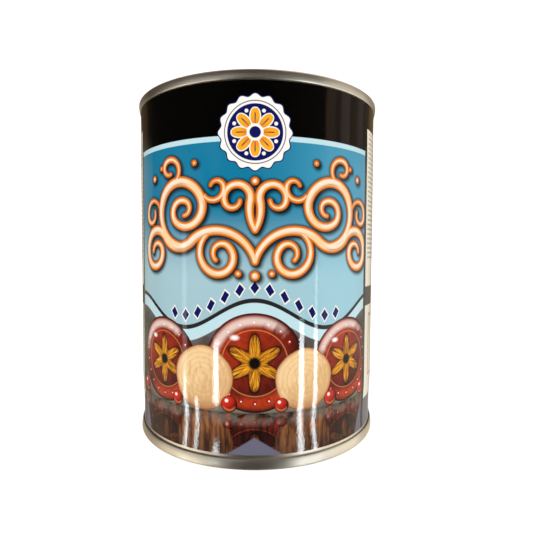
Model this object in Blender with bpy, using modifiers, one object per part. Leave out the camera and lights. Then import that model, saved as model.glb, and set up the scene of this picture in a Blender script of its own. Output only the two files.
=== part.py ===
"""A sealed, filled steel food can: printed body, two seamed ends, sealing compound, whole peeled chestnuts.

Metres, +Z up. The origin is the centre of the bottom rim, in the plane the can stands on.
A sheet-metal piece is drawn as the centre line of its sheet, given the sheet's thickness, and turned about Z.
"""

import math
import random

import bmesh
import bpy
from mathutils import Vector

MM = 0.001

# The can over its seams
CAN_HEIGHT = 115.9 * MM
SEAM_RADIUS = 87.3 / 2 * MM

# The sheets, and the space left between neighbouring layers of a seam
BODY_PLATE = 0.20 * MM
END_PLATE = 0.22 * MM
LAYER_GAP = 0.05 * MM

# The double seam, measured from its flat rim towards the middle of the can
SEAM_HEIGHT = 2.95 * MM
RIM_BEND = 0.36 * MM
COMPOUND_ROOM = 0.40 * MM
BODY_HOOK_TIP = 2.35 * MM
COVER_HOOK_TIP = 1.05 * MM
CURL_GAP = 0.09 * MM
UNDER_CURL_TURN = math.radians(65)
FLARE_BEND = 0.2 * MM

# The body's outside, with depths below the rim: its straight middle, then a neck and a flare towards each seam
BODY_RADIUS = 43.15 * MM
FLARE_RADIUS = 43.32 * MM
TOP_NECK_RADIUS = 42.92 * MM
BOTTOM_NECK_RADIUS = 42.72 * MM
NECK_DEPTH = 8.5 * MM
MIDDLE_DEPTH = 16.0 * MM

# The stamped panel of each end, with depths below the rim: it steps down twice towards its middle
COUNTERSINK_DEPTH = 3.8 * MM
COUNTERSINK_BEND = 0.5 * MM
CHUCK_TAPER = 0.12 * MM
PANEL_RADIUS = 40.7 * MM
PANEL_DEPTH = 2.1 * MM
PANEL_BEND = 0.6 * MM
STEP_RADII = (30.0 * MM, 21.0 * MM)
STEP_HEIGHT = 0.45 * MM
STEP_RUN = 1.2 * MM

# The rings of compound: how much wider one is at its middle than at its flat top and foot
COMPOUND_BULGE = 1.9

# The contents: layers of one chestnut in the middle and six round it. The largest has these sizes
LAYERS = 5
AROUND = 6
CHESTNUT_RADIUS = 13.9 * MM
CHESTNUT_HEIGHT = 20.2 * MM
SMALLEST = 0.95
CHESTNUT_GAP = 0.4 * MM
LAYER_PITCH = 20.7 * MM
FIRST_LAYER_BASE = 4.5 * MM
MOST_TILT = math.radians(2.0)
SEED = 7

# A chestnut's form: 1 is an ellipsoid and 0 a drum, then its trimmed crown and foot, and how uneven it is
ROUNDNESS = 0.72
TRIM = 0.94
OVAL = 0.010
THREE_SIDED = 0.005

# How finely outlines are drawn and turned
TURN_STEPS = 36
BEND_STEP = math.radians(45)
LEAST_STEP = 0.02 * MM
MERGE = 0.001 * MM
FLARE_SHARES = (0.8, 0.5, 0.2)
NECK_SHARES = (0.0, 0.3, 0.5, 0.7, 1.0)
CHESTNUT_SIDES = 9
CHESTNUT_RINGS = 6

PRINT = dict(colour=(0.03, 0.25, 0.40), roughness=0.16, metallic=0.0)
TINPLATE = dict(colour=(0.62, 0.59, 0.54), roughness=0.28, metallic=1.0)
COMPOUND = dict(colour=(0.30, 0.27, 0.22), roughness=0.70, metallic=0.0)
FLESH = dict(colour=(0.80, 0.68, 0.46), roughness=0.45, metallic=0.0)


def start_empty():
    """Clear the scene and return the collection that holds the can."""
    for old in list(bpy.data.objects):
        bpy.data.objects.remove(old)
    can = bpy.data.collections.new("food_can")
    bpy.context.scene.collection.children.link(can)
    return can


def material(name, colour, roughness, metallic):
    mat = bpy.data.materials.new(name)
    mat.use_nodes = True
    shader = mat.node_tree.nodes["Principled BSDF"]
    shader.inputs["Base Color"].default_value = (*colour, 1.0)
    shader.inputs["Roughness"].default_value = roughness
    shader.inputs["Metallic"].default_value = metallic
    return mat


def rounded_path(corners):
    """Points along corners given as (radius, height, bend radius), with an arc at each bend."""
    points = [Vector(corners[0][:2])]
    for before, corner, after in zip(corners, corners[1:], corners[2:]):
        here, bend = Vector(corner[:2]), corner[2]
        if not bend:
            points.append(here)
            continue
        back = (Vector(before[:2]) - here).normalized()
        ahead = (Vector(after[:2]) - here).normalized()
        opening = back.angle(ahead)
        centre = here + (back + ahead).normalized() * bend / math.sin(opening / 2)
        start = here + back * bend / math.tan(opening / 2) - centre
        turned = (math.pi - opening) * math.copysign(1, back.cross(ahead))
        pieces = max(1, math.ceil(abs(turned) / BEND_STEP - 0.01))
        for k in range(pieces + 1):
            angle = -turned * k / pieces
            c, s = math.cos(angle), math.sin(angle)
            points.append(centre + Vector((c * start.x - s * start.y, s * start.x + c * start.y)))
    points.append(Vector(corners[-1][:2]))
    return [p for p, q in zip(points, points[1:]) if (p - q).length > LEAST_STEP] + points[-1:]


def sheet_sides(path, thickness):
    """The two faces of a sheet along path, its centre line: first the one on the left as the path runs."""
    runs = [(b - a).normalized() for a, b in zip(path, path[1:])]
    left, right = [], []
    for i, point in enumerate(path):
        normals = [Vector((-run.y, run.x)) for run in runs[max(i - 1, 0):i + 1]]
        middle = sum(normals, Vector((0, 0))).normalized()
        reach = thickness / 2 / middle.dot(normals[0])
        left.append(point + middle * reach)
        right.append(point - middle * reach)
    return left, right


def turned(can, name, outline, closed, mat):
    """Turn an outline of (radius, height) points about Z. Its outer side runs from top to bottom."""
    mesh = bpy.data.meshes.new(name)
    edges = [(i, i + 1) for i in range(len(outline) - 1)]
    if closed:
        edges.append((len(outline) - 1, 0))
    mesh.from_pydata([(p.x, 0, p.y) for p in outline], edges, [])
    mesh.materials.append(mat)
    return placed_turned(can, name, mesh)


def placed_turned(can, name, mesh):
    """An object that turns the outline in mesh into a solid."""
    piece = bpy.data.objects.new(name, mesh)
    can.objects.link(piece)
    screw = piece.modifiers.new("Turn", "SCREW")
    screw.axis = "Z"
    screw.steps = TURN_STEPS
    screw.render_steps = TURN_STEPS
    screw.use_smooth_shade = True
    screw.use_merge_vertices = True
    screw.merge_threshold = MERGE
    return piece


def seam_layers():
    """Centre-line radii of a seam's five layers, from the outside in."""
    cover = SEAM_RADIUS - END_PLATE / 2
    body_hook = cover - END_PLATE / 2 - LAYER_GAP - BODY_PLATE / 2
    cover_hook = body_hook - BODY_PLATE / 2 - LAYER_GAP - END_PLATE / 2
    wall = cover_hook - END_PLATE / 2 - LAYER_GAP - BODY_PLATE / 2
    chuck = wall - BODY_PLATE / 2 - LAYER_GAP - END_PLATE / 2
    return cover, body_hook, cover_hook, wall, chuck


def flare_and_neck(neck_radius, flare_depth):
    """The centre line from the flare by a seam, round the neck, to the body's straight middle."""
    flare, neck, middle = (r - BODY_PLATE / 2 for r in (FLARE_RADIUS, neck_radius, BODY_RADIUS))
    corners = []
    for t in FLARE_SHARES:
        corners.append((neck + (flare - neck) * t * t, NECK_DEPTH + (flare_depth - NECK_DEPTH) * t, 0))
    for t in NECK_SHARES:
        rise = t * t * (3 - 2 * t)
        corners.append((neck + (middle - neck) * rise, NECK_DEPTH + (MIDDLE_DEPTH - NECK_DEPTH) * t, 0))
    return corners


def body_end_corners(neck_radius):
    """One end of the body's centre line, from the tip of its hook inwards, with depths below the rim."""
    cover, body_hook, cover_hook, wall, chuck = seam_layers()
    fold = (body_hook - wall) / 2
    fold_top = END_PLATE + COMPOUND_ROOM + BODY_PLATE / 2
    curl_bend = (cover - cover_hook) / 2
    curl_centre = SEAM_HEIGHT - END_PLATE / 2 - curl_bend
    wrap_bend = body_hook - wall + CURL_GAP - LAYER_GAP
    wrap_depth = curl_centre + wrap_bend * math.tan(UNDER_CURL_TURN / 2)
    flare = FLARE_RADIUS - BODY_PLATE / 2
    flare_depth = wrap_depth + (flare - wall) / math.tan(UNDER_CURL_TURN)
    return [
        (body_hook, BODY_HOOK_TIP, 0),
        (body_hook, fold_top, fold),
        (wall, fold_top, fold),
        (wall, wrap_depth, wrap_bend),
        (flare, flare_depth, FLARE_BEND),
    ] + flare_and_neck(neck_radius, flare_depth)


def add_body(can):
    top = [(r, CAN_HEIGHT - depth, bend) for r, depth, bend in body_end_corners(TOP_NECK_RADIUS)]
    bottom = body_end_corners(BOTTOM_NECK_RADIUS)
    left, right = sheet_sides(rounded_path(top + bottom[::-1]), BODY_PLATE)
    turned(can, "can_body", left + right[::-1], True, material("print", **PRINT))


def end_corners():
    """An end's centre line, from its middle out to the tip of its hook. The rim's face is at height 0."""
    cover, body_hook, cover_hook, wall, chuck = seam_layers()
    panel = -PANEL_DEPTH - END_PLATE / 2 - STEP_HEIGHT * len(STEP_RADII)
    corners = [(0, panel, 0)]
    for radius in STEP_RADII[::-1]:
        corners.append((radius - STEP_RUN, panel, PANEL_BEND))
        panel += STEP_HEIGHT
        corners.append((radius, panel, PANEL_BEND))
    groove = -COUNTERSINK_DEPTH + END_PLATE / 2
    groove_out = chuck - CHUCK_TAPER
    groove_in = groove_out - 2 * COUNTERSINK_BEND
    rim = -END_PLATE / 2
    curl = -SEAM_HEIGHT + END_PLATE / 2
    fold = (cover - cover_hook) / 2
    return corners + [
        (PANEL_RADIUS, panel, PANEL_BEND),
        (groove_in, groove, COUNTERSINK_BEND),
        (groove_out, groove, COUNTERSINK_BEND),
        (chuck, rim, RIM_BEND),
        (cover, rim, RIM_BEND),
        (cover, curl, fold),
        (cover_hook, curl, fold),
        (cover_hook, -COVER_HOOK_TIP, 0),
    ]


def add_ends(can):
    tin = material("tinplate", **TINPLATE)
    left, right = sheet_sides(rounded_path(end_corners()), END_PLATE)
    top = turned(can, "top_end", left + right[::-1], False, tin)
    top.location.z = CAN_HEIGHT
    bottom = placed_turned(can, "bottom_end", top.data)
    bottom.rotation_euler.x = math.pi


def add_compound(can):
    """A ring of compound in the room between each rim and the fold of the body."""
    cover, body_hook, cover_hook, wall, chuck = seam_layers()
    middle = (cover + chuck) / 2
    flat = (cover - chuck) / 2 - RIM_BEND
    top = -END_PLATE - LAYER_GAP
    foot = top + 2 * LAYER_GAP - COMPOUND_ROOM
    widest = (top + foot) / 2
    bulge = COMPOUND_BULGE * flat
    outline = [(-flat, top), (flat, top), (bulge, widest), (flat, foot), (-flat, foot), (-bulge, widest)]
    ring = [Vector((middle + across, height)) for across, height in outline]
    rubber = material("sealing_compound", **COMPOUND)
    top_ring = turned(can, "top_seam_compound", ring, True, rubber)
    top_ring.location.z = CAN_HEIGHT
    bottom_ring = placed_turned(can, "bottom_seam_compound", top_ring.data)
    bottom_ring.rotation_euler.x = math.pi


def chestnut_mesh(name, rng, mat):
    """A peeled chestnut: a flattened round corm, trimmed at its crown and foot, and never quite round."""
    width = CHESTNUT_RADIUS * rng.uniform(SMALLEST, 1)
    height = CHESTNUT_HEIGHT / 2 / TRIM * rng.uniform(SMALLEST, 1)
    turn_two, turn_three = rng.uniform(0, math.pi), rng.uniform(0, math.pi)
    bm = bmesh.new()
    bmesh.ops.create_uvsphere(bm, u_segments=CHESTNUT_SIDES, v_segments=CHESTNUT_RINGS, radius=1.0)
    for v in bm.verts:
        around = math.atan2(v.co.y, v.co.x)
        oval = OVAL * (math.cos(2 * (around - turn_two)) - 1)
        three_sided = THREE_SIDED * (math.cos(3 * (around - turn_three)) - 1)
        waist = width * math.hypot(v.co.x, v.co.y) ** ROUNDNESS * (1 + oval + three_sided)
        rise = math.copysign(min(abs(v.co.z) ** ROUNDNESS, TRIM), v.co.z)
        v.co = (waist * math.cos(around), waist * math.sin(around), height * rise)
    mesh = bpy.data.meshes.new(name)
    bm.to_mesh(mesh)
    bm.free()
    mesh.shade_smooth()
    mesh.materials.append(mat)
    return mesh


def add_chestnuts(can):
    rng = random.Random(SEED)
    flesh = material("chestnut_flesh", **FLESH)
    ring = 2 * CHESTNUT_RADIUS + CHESTNUT_GAP
    count = 0
    for layer in range(LAYERS):
        places = [(0, 0)]
        for k in range(AROUND):
            angle = math.tau * (k + layer / 2) / AROUND
            places.append((ring * math.cos(angle), ring * math.sin(angle)))
        for x, y in places:
            count += 1
            name = f"chestnut_{count:02d}"
            piece = bpy.data.objects.new(name, chestnut_mesh(name, rng, flesh))
            can.objects.link(piece)
            piece.location = (x, y, FIRST_LAYER_BASE + LAYER_PITCH * layer + CHESTNUT_HEIGHT / 2)
            piece.rotation_euler = (
                rng.uniform(-MOST_TILT, MOST_TILT),
                rng.uniform(-MOST_TILT, MOST_TILT),
                rng.uniform(0, math.tau),
            )


def main():
    can = start_empty()
    add_body(can)
    add_ends(can)
    add_compound(can)
    add_chestnuts(can)


main()
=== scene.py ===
"""The looks of a printed steel food can: its sheet metal, its lacquered print and the food packed inside.

Lengths are in millimetres, and become metres where they go into a mesh or the camera.
Round the can, a place is given by its arc: millimetres along the body from the middle of the front, -Y,
with +X ahead. The print is drawn by formulas of the arc and the height.
"""

import math
import random
from collections import namedtuple

import bmesh
import bpy
from mathutils import Matrix, Vector


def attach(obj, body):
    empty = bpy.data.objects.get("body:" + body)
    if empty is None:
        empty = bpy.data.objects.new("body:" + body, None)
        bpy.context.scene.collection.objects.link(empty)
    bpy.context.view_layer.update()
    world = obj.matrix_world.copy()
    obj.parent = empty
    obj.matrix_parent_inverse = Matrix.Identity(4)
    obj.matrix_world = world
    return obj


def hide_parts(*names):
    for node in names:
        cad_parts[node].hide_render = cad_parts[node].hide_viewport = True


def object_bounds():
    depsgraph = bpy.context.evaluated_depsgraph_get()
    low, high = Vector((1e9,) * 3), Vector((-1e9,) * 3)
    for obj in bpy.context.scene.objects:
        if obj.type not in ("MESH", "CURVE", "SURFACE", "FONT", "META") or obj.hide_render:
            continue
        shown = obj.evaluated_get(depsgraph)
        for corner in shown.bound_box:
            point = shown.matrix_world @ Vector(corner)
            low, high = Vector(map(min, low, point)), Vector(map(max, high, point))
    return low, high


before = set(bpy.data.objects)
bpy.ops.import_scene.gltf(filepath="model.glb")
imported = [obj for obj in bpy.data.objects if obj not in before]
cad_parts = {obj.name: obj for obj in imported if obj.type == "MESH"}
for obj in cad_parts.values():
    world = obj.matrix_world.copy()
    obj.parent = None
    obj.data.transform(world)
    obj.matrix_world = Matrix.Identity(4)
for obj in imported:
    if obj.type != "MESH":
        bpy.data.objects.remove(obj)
cad_low, cad_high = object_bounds()

MM = 0.001

# The can over its seams
CAN_HEIGHT = (cad_high.z - cad_low.z) / MM
SEAM_RADIUS = (cad_high.x - cad_low.x) / 2 / MM

# The sheets, the space between the layers of a seam, and the printed coat that covers the body's sheet
BODY_PLATE = 0.20
END_PLATE = 0.22
LAYER_GAP = 0.05
COAT = 0.03
COAT_ROOM = 0.01

# The double seam, measured from its flat rim towards the middle of the can
RIM_BEND = 0.36
COMPOUND_ROOM = 0.40
BODY_HOOK_TIP = 2.35
COVER_HOOK_TIP = 1.05
CURL_GAP = 0.09
FLARE_BEND = 0.2
WRAP_SHARE = 0.94
SEAM_CROWN = 0.30
CROWN_FROM = 0.5

# The body's outside: a straight middle, then a neck and a flare towards each seam. Depths are from the rim
BODY_RADIUS = 43.15
NECK_DEPTH = 8.5
MIDDLE_DEPTH = 21.0

# Each end of the can: its seam's height, its neck's radius and the radius where its flare meets the seam
CanEnd = namedtuple("CanEnd", "seam_height neck flare")
TOP = CanEnd(2.70, 43.06, 43.14)
BOTTOM = CanEnd(3.25, 42.72, 42.88)

# The stamped panel of each end, with depths below the rim
COUNTERSINK_DEPTH = 3.8
COUNTERSINK_BEND = 0.5
CHUCK_TAPER = 0.12
PANEL_RADIUS = 40.7
PANEL_DEPTH = 2.1
PANEL_BEND = 0.6
STEP_RADII = (30.0, 21.0)
STEP_HEIGHT = 0.45
STEP_RUN = 1.2

# How finely the metal and the food are drawn
TURN_STEPS = 240
BEND_STEP = math.radians(12)
BEND_SLACK = 0.01
LEAST_STEP = 0.02
FLARE_STEPS = 10
NECK_STEPS = 12
FACE_STEPS = 10
CHESTNUT_SEGMENTS = 40
CHESTNUT_RINGS = 24
SHARP_ANGLE = math.radians(38)

# Where faces lie on a piece's map, in shares of the map: on a turned piece, then on a panel of the coat
TURNED_SIDES = (0.01, 0.99)
COAT_SIDES = (0.02, 0.98)
OUTER_FACE = (0.10, 0.99)
INNER_FACE = (0.06, 0.02)
TOP_EDGE = (0.075, 0.07)
FOOT_EDGE = (0.085, 0.09)
LEFT_EDGE = (0.004, 0.008)
RIGHT_EDGE = (0.992, 0.996)

# The printed coat: where it ends, and the panels it is laid out in. The weld between the last two is bare
PRINT_FOOT = 4.20
PRINT_TOP = 113.0
GIRTH = math.tau * BODY_RADIUS
PANEL_MIDDLE = -0.8
PANEL_LEFT = 49.2
PANEL_RIGHT = 44.3
PICTURE_WIDTH = PANEL_LEFT + PANEL_RIGHT
SIDE_WIDTH = GIRTH / 2 - PICTURE_WIDTH
FRONT_START = PANEL_MIDDLE - PANEL_LEFT
WELD_ARC = FRONT_START - SIDE_WIDTH
WELD_BARE = 2.6
WELD_WIDTH = 0.7
WELD_PITCH = 0.8
COLUMN = 1.0
LAST_STRIP = 0.03
ROW = 0.9

# The food: layers of one chestnut in the middle and some round it. The largest has these sizes
LAYERS = 5
AROUND = 6
CHESTNUT_RADIUS = 13.9
CHESTNUT_HEIGHT = 20.2
SMALLEST = 0.95
CHESTNUT_GAP = 0.4
LAYER_PITCH = 20.7
FIRST_LAYER_BASE = 4.5
MOST_TILT = math.radians(2.0)
SEED = 7

# A chestnut's form: 1 is an ellipsoid and 0 a drum, then its trimmed crown and foot, and how uneven it is
ROUNDNESS = 0.72
TRIM = 0.94
OVAL = 0.010
THREE_SIDED = 0.005

# Where the camera stands and how it is turned
PICTURE_SIDE = 536
FOCAL_PIXELS = 423.44
SENSOR = 36.0
CAMERA_DISTANCE = 165.2
CAMERA_HEIGHT = 65.57
CAMERA_DOWN = 0.04797
CAMERA_ROLL = -0.00372
CAMERA_YAW = 0.02456


# Outlines and meshes


def rounded_path(corners):
    """Points along corners given as (radius, height, bend radius), with an arc at each bend."""
    points = [Vector(corners[0][:2])]
    for before, corner, after in zip(corners, corners[1:], corners[2:]):
        here, bend = Vector(corner[:2]), corner[2]
        if not bend:
            points.append(here)
            continue
        back = (Vector(before[:2]) - here).normalized()
        ahead = (Vector(after[:2]) - here).normalized()
        opening = back.angle(ahead)
        centre = here + (back + ahead).normalized() * bend / math.sin(opening / 2)
        start = here + back * bend / math.tan(opening / 2) - centre
        sweep = (math.pi - opening) * math.copysign(1, back.cross(ahead))
        pieces = max(1, math.ceil(abs(sweep) / BEND_STEP - BEND_SLACK))
        for k in range(pieces + 1):
            angle = -sweep * k / pieces
            c, s = math.cos(angle), math.sin(angle)
            points.append(centre + Vector((c * start.x - s * start.y, s * start.x + c * start.y)))
    points.append(Vector(corners[-1][:2]))
    return [p for p, q in zip(points, points[1:]) if (p - q).length > LEAST_STEP] + points[-1:]


def sheet_sides(path, thickness):
    """The two faces of a sheet along path, its centre line."""
    runs = [(b - a).normalized() for a, b in zip(path, path[1:])]
    left, right = [], []
    for i, point in enumerate(path):
        normals = [Vector((-run.y, run.x)) for run in runs[max(i - 1, 0):i + 1]]
        middle = sum(normals, Vector((0, 0))).normalized()
        reach = thickness / 2 / middle.dot(normals[0])
        left.append(point + middle * reach)
        right.append(point - middle * reach)
    return left, right


def shares_along(points):
    """How far along an outline each point lies, from 0 to 1."""
    steps = [(b - a).length for a, b in zip(points, points[1:])]
    return [sum(steps[:i]) / sum(steps) for i in range(len(points))]


def skin(bm, layer, rows, across, down):
    """Faces between rows of vertices, laid out flat on the map at the places across and down."""
    for i in range(len(rows) - 1):
        for j in range(len(rows[i]) - 1):
            corners = ((i, j), (i + 1, j), (i + 1, j + 1), (i, j + 1))
            places = {}
            for a, b in corners:
                places.setdefault(rows[a][b], (across[b], down[a]))
            face = bm.faces.new(places)
            for loop in face.loops:
                loop[layer].uv = places[loop.vert]


def between(limits, share):
    return limits[0] + (limits[1] - limits[0]) * share


def spaced(start, end, count):
    return [start + (end - start) * k / count for k in range(count + 1)]


def as_object(name, bm, mat):
    """Put a mesh under construction in the scene."""
    mesh = bpy.data.meshes.new(name)
    bm.to_mesh(mesh)
    bm.free()
    mesh.materials.append(mat)
    thing = bpy.data.objects.new(name, mesh)
    bpy.context.scene.collection.objects.link(thing)
    return thing


def as_piece(name, bm, mat):
    """Put a mesh under construction in the scene, as a smooth piece that rides with the can."""
    bmesh.ops.recalc_face_normals(bm, faces=bm.faces)
    piece = as_object(name, bm, mat)
    piece.data.shade_smooth()
    piece.data.set_sharp_from_angle(angle=SHARP_ANGLE)
    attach(piece, "root")
    return piece


def place(radius, height, angle):
    """A point of the can in metres. The angle runs from -Y towards +X."""
    return Vector((radius * math.sin(angle), -radius * math.cos(angle), height)) * MM


def turned(name, outline, mat):
    """Turn an outline of (radius, height) points, closed or from axis to axis, round the can's axis."""
    bm = bmesh.new()
    layer = bm.loops.layers.uv.new("OFBake")
    angles = spaced(-math.pi, math.pi, TURN_STEPS)
    rows = []
    for r, height in outline:
        if r < LEAST_STEP:
            ring = [bm.verts.new(place(0, height, 0))] * len(angles)
        else:
            ring = [bm.verts.new(place(r, height, angle)) for angle in angles[:-1]]
            ring.append(ring[0])
        rows.append(ring)
    closed = outline[0][0] >= LEAST_STEP
    points = outline + outline[:1] if closed else outline
    if closed:
        rows.append(rows[0])
    down = [between(TURNED_SIDES, share) for share in shares_along(points)]
    across = spaced(*TURNED_SIDES, TURN_STEPS)
    skin(bm, layer, rows, across, down)
    return as_piece(name, bm, mat)


# The seams and the sheet metal

SeamLayers = namedtuple("SeamLayers", "cover body_hook cover_hook wall chuck")
Wrap = namedtuple("Wrap", "depth bend flare_depth")


def seam_layers():
    """Centre-line radii of a seam's five layers, from the outside in."""
    step = END_PLATE / 2 + LAYER_GAP + BODY_PLATE / 2
    outermost = SEAM_RADIUS - END_PLATE / 2
    return SeamLayers(*(outermost - step * k for k in range(5)))


def wrap_under_curl(end):
    """How the body wraps under an end's curl: the wrap's depth and bend, and where the flare begins."""
    layers = seam_layers()
    curl_centre = end.seam_height - END_PLATE / 2 - (layers.cover - layers.cover_hook) / 2
    bend = layers.body_hook - layers.wall + CURL_GAP - LAYER_GAP
    outwards = end.flare - BODY_PLATE / 2 - layers.wall
    turn = WRAP_SHARE * math.acos(1 - outwards / (bend + FLARE_BEND))
    depth = curl_centre + bend * math.tan(turn / 2)
    return Wrap(depth, bend, depth + outwards / math.tan(turn))


def outside_radius(depth, end):
    """The radius of the body's outside at a depth below the nearer rim."""
    if depth >= MIDDLE_DEPTH:
        return BODY_RADIUS
    if depth >= NECK_DEPTH:
        t = (depth - NECK_DEPTH) / (MIDDLE_DEPTH - NECK_DEPTH)
        return end.neck + (BODY_RADIUS - end.neck) * t * t * (3 - 2 * t)
    t = (NECK_DEPTH - depth) / (NECK_DEPTH - wrap_under_curl(end).flare_depth)
    return end.neck + (end.flare - end.neck) * t * t


def outside_at(height):
    if height < CAN_HEIGHT / 2:
        return outside_radius(height, BOTTOM)
    return outside_radius(CAN_HEIGHT - height, TOP)


def body_end_corners(end):
    """One end of the body's centre line, from the tip of its hook inwards, with depths below the rim."""
    layers = seam_layers()
    wrap = wrap_under_curl(end)
    fold = (layers.body_hook - layers.wall) / 2
    fold_top = END_PLATE + COMPOUND_ROOM + BODY_PLATE / 2
    corners = [
        (layers.body_hook, BODY_HOOK_TIP, 0),
        (layers.body_hook, fold_top, fold),
        (layers.wall, fold_top, fold),
        (layers.wall, wrap.depth, wrap.bend),
        (end.flare - BODY_PLATE / 2, wrap.flare_depth, FLARE_BEND),
    ]
    depths = spaced(wrap.flare_depth, NECK_DEPTH, FLARE_STEPS)[1:]
    depths += spaced(NECK_DEPTH, MIDDLE_DEPTH, NECK_STEPS)[1:]
    for depth in depths:
        corners.append((outside_radius(depth, end) - BODY_PLATE / 2, depth, 0))
    return corners


def add_body(mat):
    """The body's bare sheet, thinner than the printed one by the coat on its outside."""
    top = [(r, CAN_HEIGHT - depth, bend) for r, depth, bend in body_end_corners(TOP)]
    bottom = body_end_corners(BOTTOM)
    left, right = sheet_sides(rounded_path(top + bottom[::-1]), BODY_PLATE - 2 * (COAT + COAT_ROOM))
    body = turned("body_sheet", left + right[::-1], mat)
    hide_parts("can_body")


def end_corners(end):
    """An end's centre line, from its middle out to the tip of its hook. The rim's face is at height 0."""
    layers = seam_layers()
    panel = -PANEL_DEPTH - END_PLATE / 2 - STEP_HEIGHT * len(STEP_RADII)
    corners = [(0, panel, 0)]
    for radius in STEP_RADII[::-1]:
        corners.append((radius - STEP_RUN, panel, PANEL_BEND))
        panel += STEP_HEIGHT
        corners.append((radius, panel, PANEL_BEND))
    groove = -COUNTERSINK_DEPTH + END_PLATE / 2
    groove_out = layers.chuck - CHUCK_TAPER
    groove_in = groove_out - 2 * COUNTERSINK_BEND
    rim = -END_PLATE / 2
    curl = -end.seam_height + END_PLATE / 2
    fold = (layers.cover - layers.cover_hook) / 2
    face_heights = spaced(rim - RIM_BEND, curl + fold, FACE_STEPS)[1:-1]
    return corners + [
        (PANEL_RADIUS, panel, PANEL_BEND),
        (groove_in, groove, COUNTERSINK_BEND),
        (groove_out, groove, COUNTERSINK_BEND),
        (layers.chuck, rim, RIM_BEND),
        (layers.cover, rim, RIM_BEND),
        *((layers.cover, height, 0) for height in face_heights),
        (layers.cover, curl, fold),
        (layers.cover_hook, curl, fold),
        (layers.cover_hook, -COVER_HOOK_TIP, 0),
    ]


def end_outline(end):
    """The closed outline of an end's sheet, with the seam's outer face rounded off towards its curl."""
    left, right = sheet_sides(rounded_path(end_corners(end)), END_PLATE)
    body_hook = seam_layers().body_hook
    outline = []
    for point in left + right[::-1]:
        share = max((point.x - body_hook) / (SEAM_RADIUS - body_hook), 0)
        towards_curl = max(-point.y - CROWN_FROM, 0) / (end.seam_height - CROWN_FROM)
        outline.append(Vector((point.x - SEAM_CROWN * share * towards_curl ** 2, point.y)))
    return outline


def add_ends(mat):
    top = turned("top_end_metal", [Vector((p.x, CAN_HEIGHT + p.y)) for p in end_outline(TOP)], mat)
    bottom = turned("bottom_end_metal", [Vector((p.x, -p.y)) for p in end_outline(BOTTOM)], mat)
    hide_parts("top_end")
    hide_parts("bottom_end")


# The printed coat


def coat_panel(name, start, end, mat):
    """One panel of the coat, from arc start to arc end, as a thin closed shell."""
    bm = bmesh.new()
    layer = bm.loops.layers.uv.new("OFBake")
    inner_arcs = spaced(start + LAST_STRIP, end - LAST_STRIP, round((end - start) / COLUMN))
    angles = [arc / BODY_RADIUS for arc in [start, *inner_arcs, end]]
    tall = PRINT_TOP - PRINT_FOOT
    inner_heights = spaced(PRINT_TOP - LAST_STRIP, PRINT_FOOT + LAST_STRIP, round(tall / ROW))
    heights = [PRINT_TOP, *inner_heights, PRINT_FOOT]
    outer = [[bm.verts.new(place(outside_at(h), h, a)) for a in angles] for h in heights]
    inner = [[bm.verts.new(place(outside_at(h) - COAT, h, a)) for a in angles] for h in heights]
    across = [between(COAT_SIDES, (a - angles[0]) / (angles[-1] - angles[0])) for a in angles]
    down = [between(OUTER_FACE, (h - PRINT_FOOT) / tall) for h in heights]
    skin(bm, layer, outer, across, down)
    skin(bm, layer, inner[::-1], across, spaced(*INNER_FACE, len(heights) - 1))
    skin(bm, layer, [inner[0], outer[0]], across, TOP_EDGE)
    skin(bm, layer, [outer[-1], inner[-1]], across, FOOT_EDGE)
    for column, strip in ((0, LEFT_EDGE), (-1, RIGHT_EDGE)):
        edge = [[row[column] for row in side] for side in (outer, inner)]
        skin(bm, layer, edge, down, strip)
    piece = as_piece(name, bm, mat)
    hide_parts("can_body")


def add_print(mat):
    front_end = FRONT_START + PICTURE_WIDTH
    right_end = front_end + SIDE_WIDTH
    back_end = WELD_ARC + GIRTH
    coat_panel("print_front", FRONT_START, front_end, mat)
    coat_panel("print_right", front_end, right_end, mat)
    coat_panel("print_back", right_end, back_end - WELD_BARE, mat)
    coat_panel("print_left", WELD_ARC + WELD_BARE, FRONT_START, mat)


# The food


def add_chestnuts(mat):
    """The same peeled chestnuts as the solids, drawn finer."""
    rng = random.Random(SEED)
    ring = 2 * CHESTNUT_RADIUS + CHESTNUT_GAP
    count = 0
    for layer in range(LAYERS):
        places = [(0, 0)]
        for k in range(AROUND):
            angle = math.tau * (k + layer / 2) / AROUND
            places.append((ring * math.cos(angle), ring * math.sin(angle)))
        for x, y in places:
            count += 1
            bm = chestnut_mesh(rng)
            tilt_x = rng.uniform(-MOST_TILT, MOST_TILT)
            tilt_y = rng.uniform(-MOST_TILT, MOST_TILT)
            turn = rng.uniform(0, math.tau)
            middle = Vector((x, y, FIRST_LAYER_BASE + LAYER_PITCH * layer + CHESTNUT_HEIGHT / 2)) * MM
            rotation = Matrix.Rotation(turn, 4, "Z") @ Matrix.Rotation(tilt_y, 4, "Y")
            rotation = rotation @ Matrix.Rotation(tilt_x, 4, "X")
            bmesh.ops.transform(bm, matrix=Matrix.Translation(middle) @ rotation, verts=bm.verts)
            piece = as_piece(f"peeled_chestnut_{count:02d}", bm, mat)
            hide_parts(f"chestnut_{count:02d}")


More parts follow.
